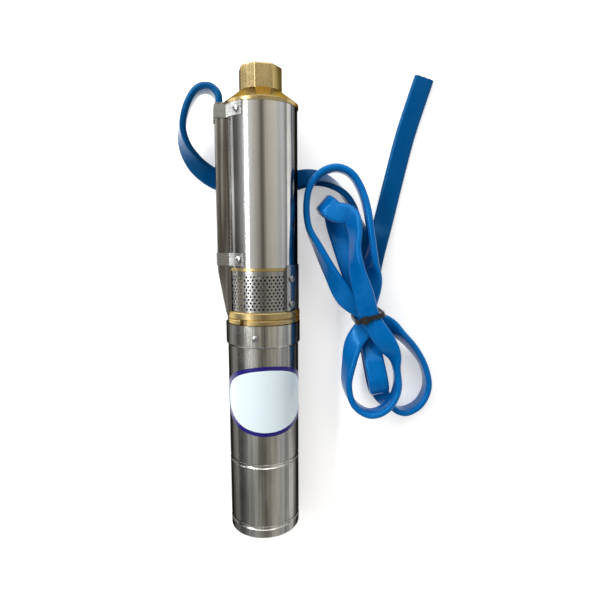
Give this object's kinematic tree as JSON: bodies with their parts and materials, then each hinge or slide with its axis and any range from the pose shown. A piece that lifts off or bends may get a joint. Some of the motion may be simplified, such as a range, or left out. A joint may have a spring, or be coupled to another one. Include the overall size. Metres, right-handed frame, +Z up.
{
  "type": "borehole submersible pump",
  "caption": "Slim upright borehole pump with a steel motor tube, perforated intake strainer, screw pump in a polished casing, threaded brass outlet and a tied flat power cable.",
  "frame": {"origin": "on the surface the pump lies on, under the middle of its box without the free cable", "axes": "+Y along the pump from the motor's base to the outlet, +Z up, +X to the right seen from above with the outlet at the top"},
  "size_m": [0.2792, 0.4916, 0.0843],
  "materials": {
    "motor_steel": "satin, drawn along the tube",
    "casing_steel": "polished",
    "sheet_steel": "brushed",
    "screw_steel": "bright",
    "brass": "turned, satin",
    "cast_iron": "as cast",
    "black_rubber": "matt",
    "bearing_steel": "ground",
    "lamination": "stacked sheet",
    "copper": "varnished copper wire",
    "magnet": "plated",
    "shaft_steel": "turned",
    "screw_chrome": "chromed",
    "ceramic": "lapped ceramic",
    "carbon": "carbon",
    "cable_blue": "smooth flexible sheath",
    "tie_black": "smooth"
  },
  "bodies": {
    "pump": {"motor_tube": "motor_steel", "casing_tube": "casing_steel", "cable_guard": "sheet_steel", "upper_guard_strap": "sheet_steel", "lower_guard_strap": "sheet_steel", "strainer_screen": "sheet_steel", "strainer_plate": "sheet_steel", "collar_screws": "screw_steel", "strainer_screws": "screw_steel", "guard_screws": "screw_steel", "filler_plug": "screw_steel", "motor_head": "brass", "intake_body": "brass", "outlet_head": "brass", "bottom_cap": "cast_iron", "lower_bearing_housing": "cast_iron", "pressure_diaphragm": "black_rubber", "intake_seal": "black_rubber", "outlet_seal": "black_rubber", "rubber_stator": "black_rubber", "cable_gland": "black_rubber", "lower_bearing_outer": "bearing_steel", "upper_bearing_outer": "bearing_steel", "stator_core": "lamination", "stator_winding": "copper", "stator_sleeve": "shaft_steel", "seal_seat": "ceramic", "guarded_cable": "cable_blue", "cable": "cable_blue", "cable_tie": "tie_black"},
    "drive": {"motor_shaft": "shaft_steel", "rotor_core": "lamination", "rotor_magnets": "magnet", "upper_bearing_inner": "bearing_steel", "lower_bearing_inner": "bearing_steel", "rotating_seal": "carbon", "sand_slinger": "black_rubber", "drive_coupling": "shaft_steel"},
    "rod": {"connecting_rod": "shaft_steel"},
    "screw": {"screw_rotor": "screw_chrome"},
    "upper_balls": {"upper_bearing_balls": "bearing_steel"},
    "lower_balls": {"lower_bearing_balls": "bearing_steel"}
  },
  "joints": [
    {"name": "motor_spin", "type": "hinge", "parent": "pump", "child": "drive", "pos_m": [0.00491, -0.11098, 0.03996], "axis": [0, 0.9998, 0.0192], "continuous": true},
    {"name": "rod_orbit", "type": "hinge", "parent": "pump", "child": "rod", "pos_m": [0.00491, 0.0235, 0.04255], "axis": [0, 0.9998, 0.0192], "continuous": true},
    {"name": "screw_spin", "type": "hinge", "parent": "rod", "child": "screw", "pos_m": [0.00791, 0.10898, 0.04419], "axis": [0, 0.9998, 0.0192], "continuous": true},
    {"name": "upper_ball_spin", "type": "hinge", "parent": "pump", "child": "upper_balls", "pos_m": [0.00491, -0.04749, 0.04118], "axis": [0, 0.9998, 0.0192], "continuous": true},
    {"name": "lower_ball_spin", "type": "hinge", "parent": "pump", "child": "lower_balls", "pos_m": [0.00491, -0.16127, 0.039], "axis": [0, 0.9998, 0.0192], "continuous": true}
  ],
  "couplings": [
    {"joint": "rod_orbit", "follows": "motor_spin", "ratio": -1},
    {"joint": "screw_spin", "follows": "motor_spin", "ratio": 2},
    {"joint": "upper_ball_spin", "follows": "motor_spin", "ratio": 0.382},
    {"joint": "lower_ball_spin", "follows": "motor_spin", "ratio": 0.3705}
  ]
}
